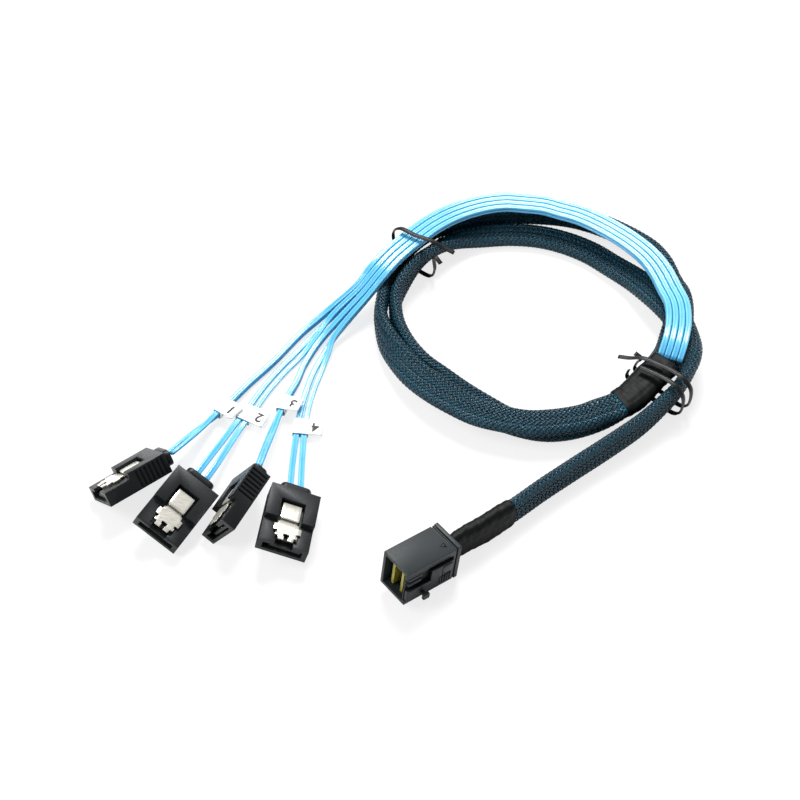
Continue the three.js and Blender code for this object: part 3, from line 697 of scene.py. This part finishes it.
# For each, where it is on the table, the way the bundle runs there in degrees, and its route
# as places along the bundle, across it and up.
TIES = {
    "left_twist_tie": ((41.0, 98.2), 236, [
        [-3, 12.5, 11.5], [-2.2, 9, 12.6], [-1, 5.2, 14.4], [0, 0, 14.7], [0, -6, 14.6],
        [0.2, -8.3, 12.2], [0.4, -7.6, 6], [0.6, -6, 1.1], [0.8, 0, 0.9], [1, 6.4, 1.1],
        [1.1, 8, 5], [1.2, 7.6, 10], [1.6, 8.4, 11.2], [2.4, 11, 10.4],
    ]),
    "right_twist_tie": ((113.6, 44.6), 45, [
        [-4.5, 13.5, 10.6], [-3.2, 10.4, 11.4], [-1.6, 7, 12.8], [-0.4, 2, 13.2],
        [0, -3.4, 13.8], [0, -7.2, 13.6], [0.2, -9.9, 11], [0.4, -9.9, 4], [0.8, -7.4, 1.1],
        [1, 0, 0.85], [1.2, 7.5, 0.9], [1.5, 11, 2.4], [1.6, 10.6, 5.4], [1.2, 9.2, 8.6],
        [0.8, 11.4, 9.6],
    ]),
}
TIE_SIZE = (1.7, 0.8)
TIE_SIDES = 16
TIE_STEP = 0.6

# The second turn of the right tie: the shares of the first where it starts and ends, and how
# far it lies nearer the shrink's middle and lower.
SECOND_TURN = (0.14, 0.9)
SECOND_TURN_ASIDE = 3.6
SECOND_TURN_LOWER = 0.35

tape = Finish("tie tape")
scuff = tape.grain(900, detail=3)
tie_finish = tape.done(Base_Color=tape.blend(scuff, ink("#070808"), ink("#151617")),
                       Roughness=scuff * 0.2 + 0.35, Specular_IOR_Level=0.3,
                       Normal=tape.bump(scuff, 0.03 * MM))


def tape_section(turn):
    """Flat tape with a wire along its middle: a thin oval that is thicker near its middle."""
    c, s = np.cos(turn), np.sin(turn)
    across = TIE_SIZE[0] / 2 * c
    core = 0.45 + 0.55 * np.exp(-((across / 0.28) ** 2))
    return across, TIE_SIZE[1] / 2 * np.sign(s) * np.abs(s) ** 0.6 * core


for name, (at, heading, points) in TIES.items():
    c, s = math.cos(math.radians(heading)), math.sin(math.radians(heading))
    bundle = np.array([[c, s, 0], [-s, c, 0], [0, 0, 1]])
    line = smooth_line(np.column_stack([np.array(points) @ bundle + [*at, 0],
                                        np.zeros(len(points))]), knots=0.5)
    lay = Lay(line, 0, reach_of(line)[-1], TIE_STEP)
    lay.thin = unit(np.cross(lay.along, bundle[0]))
    lay.wide = np.cross(lay.thin, lay.along)
    section = tape_section(full_turn(TIE_SIDES))
    piece = skin(f"{name}_tape", lay.rings(*section))
    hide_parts(name)
    wear(piece, tie_finish)
    if name == "right_twist_tie":
        second = lay.picked(slice(*(int(share * len(lay.at)) for share in SECOND_TURN)))
        second.place = second.place - SECOND_TURN_ASIDE * bundle[0] - [0, 0, SECOND_TURN_LOWER]
        piece = skin("right_twist_tie_second_turn", second.rings(*section))
        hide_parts(name)
        wear(piece, tie_finish)

# The drive plugs: charcoal nylon housings with grip ribs down both narrow sides, a boss where
# the ribbons go in, and a sprung steel latch in a well on the top.

# Where each plug's nose is, and its yaw, pitch and roll.
DRIVE_POSES = [
    ((-47, 1.4, 4.6), (38, 0, -38)),
    ((-31.9, -10.2, 4.3), (62.5, 3, 26)),
    ((-12.2, -11, 6), (64, 0, -56)),
    ((3.3, -16.8, 5.8), (84, 9, 18)),
]


def posed(points, at, angles):
    """Points in a plug's own frame, in millimetres, moved to where the plug lies: turned by its
    roll about x, then its pitch about y, then its yaw about z."""
    yaw, pitch, roll = np.radians(angles)
    cy, sy, cp, sp, cr, sr = (f(a) for a in (yaw, pitch, roll) for f in (np.cos, np.sin))
    turn_z = np.array([[cy, -sy, 0], [sy, cy, 0], [0, 0, 1]])
    turn_y = np.array([[cp, 0, sp], [0, 1, 0], [-sp, 0, cp]])
    turn_x = np.array([[1, 0, 0], [0, cr, -sr], [0, sr, cr]])
    return (np.asarray(points, float) @ (turn_z @ turn_y @ turn_x).T + at - MIDDLE) * MM


def rounded(piece, width, angle):
    """A bevel of two steps, width in millimetres, on edges that turn by more than the angle."""
    edge = piece.modifiers.new("edges", "BEVEL")
    edge.width, edge.segments, edge.limit_method = width * MM, 2, "ANGLE"
    edge.angle_limit = math.radians(angle)
    return edge


# Corners of a node's triangles this near each other, in metres, are one, and faces that turn by
# less than this, in degrees, are one flat face.
SAME_PLACE = 2e-6
SAME_FACE = 1


def eased(node, name, width, body="cable"):
    """A moulded piece: the node's own shape as one merged skin, with each sharp edge rounded
    to the given width in millimetres."""
    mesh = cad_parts[node].data.copy()
    mesh.name = name
    work = bmesh.new()
    work.from_mesh(mesh)
    bmesh.ops.remove_doubles(work, verts=work.verts, dist=SAME_PLACE)
    bmesh.ops.dissolve_limit(work, angle_limit=math.radians(SAME_FACE), verts=work.verts,
                             edges=work.edges)
    bmesh.ops.recalc_face_normals(work, faces=work.faces)
    work.to_mesh(mesh)
    work.free()
    shade(mesh)
    piece = placed(name, mesh)
    rounded(piece, width, 30).harden_normals = True
    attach(piece, body)
    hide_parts(node)
    return piece


nylon = Finish("drive plug nylon")
pits = nylon.grain(2200, detail=3)
flow = nylon.grain(90, detail=2)
drive_finish = nylon.done(Base_Color=nylon.blend(flow, ink("#0f1214"), ink("#181c1e")),
                          Roughness=pits * 0.25 + 0.3, Specular_IOR_Level=0.3,
                          Normal=nylon.bump(pits, 0.025 * MM))
tongue = Finish("contact carrier")
pits = tongue.grain(1800, detail=2)
carrier_finish = tongue.done(Base_Color=tongue.blend(pits, ink("#101213"), ink("#1b1e20")),
                             Roughness=0.45, Normal=tongue.bump(pits, 0.02 * MM))
steel = Finish("latch steel")
brush = steel.grain(400, detail=3, stretch=(1, 6, 1))
latch_finish = steel.done(Base_Color=steel.blend(brush, ink("#dcd8cd"), ink("#f4f1e8")),
                          Metallic=0.75, Roughness=brush * 0.2 + 0.2,
                          Normal=steel.bump(brush, 0.01 * MM))
gold = Finish("contact gold")
film = gold.grain(900, detail=2)
gold_finish = gold.done(Base_Color=gold.blend(film, ink("#b58a36"), ink("#e0bd62")), Metallic=1.0,
                        Roughness=film * 0.15 + 0.22)

# The latch leaf seen from above: place along the plug, half its width, and its height. The
# front plate has two legs with a notch between them and wings behind, and runs on under the
# front edge of the rear plate, which is folded back over it.
FRONT_PLATE = [
    (1.3, 1.9, 4.86), (1.4, 2.2, 4.9), (2.6, 2.2, 4.9), (2.65, 3.1, 4.9), (3.6, 3.1, 4.9),
    (3.65, 2.7, 4.9), (4.4, 2.7, 4.9), (4.45, 3.85, 4.9), (6.6, 3.85, 4.9), (6.65, 3.0, 4.9),
    (7.7, 3.0, 4.86), (8.0, 2.4, 4.7), (8.5, 2.4, 4.42), (9.4, 2.4, 4.36), (11.5, 2.4, 4.36),
]
REAR_PLATE = [
    (8.75, 2.4, 4.95), (8.85, 2.6, 5.08), (9.1, 2.65, 5.2), (9.6, 2.65, 5.25), (11.0, 2.65, 5.27),
    (12.8, 2.65, 5.24), (14.4, 2.65, 5.18), (14.6, 2.6, 5.1),
]
LEAF_WALL = 0.3
LEAF_EDGE = 0.06
NOTCH_TO = 3.6
NOTCH_SHARE = 0.28
LEAF_SHARES = np.array([-1, -0.7, -0.3, -NOTCH_SHARE, 0, NOTCH_SHARE, 0.3, 0.7, 1])


def leaf(name, at, angles, body):
    """The two plates as sheets over grids: along, each goes through its rows, and across it
    goes over shares of the half width. Faces in the notch are left out, and Solidify gives the
    wall."""
    points, faces, count = [], [], 0
    for plate in (FRONT_PLATE, REAR_PLATE):
        rows = np.array(plate)
        x = np.repeat(rows[:, :1], len(LEAF_SHARES), 1)
        y = rows[:, 1:2] * LEAF_SHARES
        z = np.repeat(rows[:, 2:], len(LEAF_SHARES), 1)
        index = count + np.arange(x.size).reshape(x.shape)
        quads = np.stack([index[:-1, :-1], index[1:, :-1], index[1:, 1:], index[:-1, 1:]], -1)
        between = (LEAF_SHARES[:-1] + LEAF_SHARES[1:]) / 2
        in_notch = (x[1:, 1:] <= NOTCH_TO) & (np.abs(between) < NOTCH_SHARE)
        points.append(np.stack([x, y, z], 2).reshape(-1, 3))
        faces += quads[~in_notch].tolist()
        count += x.size
    mesh = bpy.data.meshes.new(name)
    mesh.from_pydata(posed(np.concatenate(points), at, angles).tolist(), [], faces)
    work = bmesh.new()
    work.from_mesh(mesh)
    loose = [v for v in work.verts if not v.link_faces]
    bmesh.ops.delete(work, geom=loose, context="VERTS")
    work.to_mesh(mesh)
    work.free()
    shade(mesh, 40)
    piece = placed(name, mesh)
    wall = piece.modifiers.new("wall", "SOLIDIFY")
    wall.thickness, wall.offset = LEAF_WALL * MM, -1
    rounded(piece, LEAF_EDGE, 40)
    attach(piece, body)
    return piece


FINGERS = 7
FINGER_PITCH = 1.1
FINGER_ASIDE = 0.8
FINGER_REACH = (2.7, 6.6)
FINGER_HALF_WIDTH = 0.3
FINGER_THICKNESS = 0.1
FINGER_HEIGHT, FINGER_RISE = 2.24, 0.18


def fingers(name, at, angles):
    """The contact fingers on the carrier: a flat strip each, which rises and falls along its
    length as the square of half a sine."""
    x = np.linspace(*FINGER_REACH, 12)
    z = FINGER_HEIGHT + FINGER_RISE * np.sin(np.pi * (x - x[0]) / (x[-1] - x[0])) ** 2
    side = FINGER_HALF_WIDTH * np.array([1, 1, -1, -1])
    up = FINGER_THICKNESS * np.array([0, 1, 1, 0])
    middles = (np.arange(FINGERS) - FINGERS // 2) * FINGER_PITCH - FINGER_ASIDE
    grid = np.broadcast_arrays(x[None, :, None], middles[:, None, None] + side,
                               z[None, :, None] + up)
    return skin(name, posed(np.stack(grid, -1), at, angles), sharp=40)


plug_pieces = []
for i, (at, angles) in enumerate(DRIVE_POSES):
    name = f"drive_{i + 1}"
    housing = wear(eased(f"{name}_plug_housing", f"{name}_housing", 0.18), drive_finish)
    boss = wear(eased(f"{name}_cable_boss", f"{name}_boss", 0.35), drive_finish)
    carrier = wear(eased(f"{name}_contact_carrier", f"{name}_carrier", 0.08), carrier_finish)
    contacts = wear(fingers(f"{name}_contact_fingers", at, angles), gold_finish)
    spring = leaf(f"{name}_latch_leaf", at, angles, f"{name}_latch")
    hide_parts(f"{name}_latch_spring")
    wear(spring, latch_finish)
    plug_pieces.append([housing, boss, carrier, contacts, spring, *labels[i]])

# For each ribbon the pieces that go with it are picked, its plug and label for the lower one of a
# lead and its boss for the upper one, and its path is read; nothing more is done with them.
for (lane, layer), (piece, lay) in ribbons.items():
    pieces = plug_pieces[lane] if layer == 0 else plug_pieces[lane][1:2]
    tuple(lay.path()[0])
    lay.path()

# The host plug: a slate-grey moulded shell round two card edges, with a rear flange, and a
# latch lever down its right side that ends in a hook below.

HOST_POSE = ((48.2, -16, 0.3), (38, 9, -2))

moulding = Finish("host plug nylon")
pits = moulding.grain(2000, detail=3)
flow = moulding.grain(70, detail=2)
host_finish = moulding.done(Base_Color=moulding.blend(flow, ink("#181e21"), ink("#22292c")),
                            Roughness=pits * 0.25 + 0.35, Specular_IOR_Level=0.3,
                            Normal=moulding.bump(pits, 0.025 * MM))
lever = Finish("latch lever nylon")
pits = lever.grain(2000, detail=3)
lever_finish = lever.done(Base_Color=lever.blend(pits, ink("#15191b"), ink("#202629")),
                          Roughness=0.45, Specular_IOR_Level=0.3,
                          Normal=lever.bump(pits, 0.025 * MM))
board = Finish("card edge")
weave = board.grain(800, detail=2)
card_finish = board.done(Base_Color=board.blend(weave, ink("#6d6a1f"), ink("#a39a3c")),
                         Metallic=0.3, Roughness=0.4, Normal=board.bump(weave, 0.02 * MM))

wear(eased("host_plug_shell", "host_shell", 0.16), host_finish)
wear(eased("host_plug_rear_flange", "host_rear_flange", 0.2), host_finish)
wear(eased("host_latch_lever", "host_latch", 0.14, "host_latch"), lever_finish)
for side in ("left", "right"):
    wear(eased(f"host_card_edge_{side}", f"host_card_{side}", 0.1), card_finish)

# Small forms of the host plug: a blunt pad and a row of grip ribs on the lever, two rounded
# bars at the front of the right side, a hook below them and a raised mark on the top.

BLOCK_SIDES = 32
BLOCK_POWER = 6


def block(name, low, high, round_by, body="cable"):
    """A moulded block in the host plug's own frame: the section in x and z is a superellipse,
    and it is drawn in by steps at the end of its depth in y that shows."""
    low, high = np.array(low, float), np.array(high, float)
    middle, half = (low + high) / 2, (high - low) / 2
    turn = full_turn(BLOCK_SIDES)
    c, s = np.cos(turn), np.sin(turn)
    fat = (np.abs(c) ** BLOCK_POWER + np.abs(s) ** BLOCK_POWER) ** (-1 / BLOCK_POWER)
    depths = np.array([-1, 1 - round_by / half[1], 1 - 0.3 * round_by / half[1], 1])
    shrink = np.array([0, 0, 0.3 * round_by, round_by])
    rings = [np.stack([middle[0] + (half[0] - d) * c * fat, 0 * c + middle[1] - half[1] * y,
                       middle[2] + (half[2] - d) * s * fat], 1) for y, d in zip(depths, shrink)]
    return skin(name, posed(np.stack(rings), *HOST_POSE), body, sharp=45)


LEVER_SIDE = -5.85
RIBS = 5
RIB_FROM, RIB_PITCH, RIB_WIDTH = -7.4, 0.85, 0.45
BAR_HEIGHTS, BAR_THICKNESS = (6.6, 8.4), 1.3

wear(block("host_latch_pad", (-6.9, LEVER_SIDE - 0.35, 5.9), (-3.2, LEVER_SIDE + 0.2, 9.0), 0.3,
           "host_latch"), lever_finish)
for k in range(RIBS):
    x = RIB_FROM + RIB_PITCH * k
    rib = block(f"host_latch_rib_{k + 1}", (x, LEVER_SIDE - 0.4, 2.3),
                (x + RIB_WIDTH, LEVER_SIDE + 0.2, 5.2), 0.15, "host_latch")
    wear(rib, lever_finish)
for k, z in enumerate(BAR_HEIGHTS):
    bar = block(f"host_side_bar_{k + 1}", (-17.8, -5.2, z), (-13.2, -4.2, z + BAR_THICKNESS), 0.4)
    wear(bar, host_finish)
wear(block("host_latch_hook", (-13.6, -7.2, 2.1), (-12.6, -5.7, 3.2), 0.2, "host_latch"),
     lever_finish)
wear(block("host_latch_hook_tip", (-14.2, -7.9, 1.7), (-12.0, -7.1, 3.6), 0.2, "host_latch"),
     lever_finish)

MARK = [(-5.2, -1.9), (-3.6, -3.1), (-3.4, -1.3)]
MARK_HEIGHTS = (12.05, 12.27)
mark_rings = [[(x, y, z) for x, y in MARK] for z in MARK_HEIGHTS]
wear(skin("host_top_mark", posed(mark_rings, *HOST_POSE)), lever_finish)

# The table and the light: a white table that keeps a faint shadow, and two large soft lamps
# over it, one behind the turns and one at the left.

TABLE_SIDE = 6.0
# The share of the table's own look that gives way to plain white before the camera.
TABLE_WHITENED = 0.78
ROOM_LIGHT = 0.33

floor_mesh = bpy.data.meshes.new("table")
half = TABLE_SIDE / 2
floor_mesh.from_pydata([(-half, -half, 0), (half, -half, 0), (half, half, 0), (-half, half, 0)],
                       [], [(0, 1, 2, 3)])
table = placed("table", floor_mesh)

white = Finish("white table")
seen = white.add("LightPath", {}, out="Is Camera Ray")
glow = white.add("Emission", {}, {"Color": (1, 1, 1, 1), "Strength": 1.0})
white.done(Base_Color=(0.92, 0.92, 0.92, 1), Roughness=0.9)
lit = Flow(white, white.shader.outputs[0])
both = white.add("MixShader", {}, [seen * TABLE_WHITENED, lit, glow])
white.join(both, white.nodes["Material Output"].inputs["Surface"])
table.data.materials.append(white.material)

world = bpy.data.worlds.new("studio")
world.use_nodes = True
room = world.node_tree.nodes["Background"].inputs
room["Color"].default_value = (1, 1, 1, 1)
room["Strength"].default_value = ROOM_LIGHT
bpy.context.scene.world = world


def lamp(name, place, size, watts):
    """A square soft lamp that faces the middle of the cable."""
    light = bpy.data.lights.new(name, "AREA")
    light.size, light.energy = size, watts
    holder = placed(name, light)
    holder.location = place
    toward = Vector(VIEW_CENTRE) - Vector(place)
    holder.rotation_euler = toward.to_track_quat("-Z", "Y").to_euler()


lamp("lamp_behind", (0.1, 0.62, 0.85), 0.35, 14.0)
lamp("lamp_left", (-0.6, -0.1, 0.8), 0.5, 6.0)
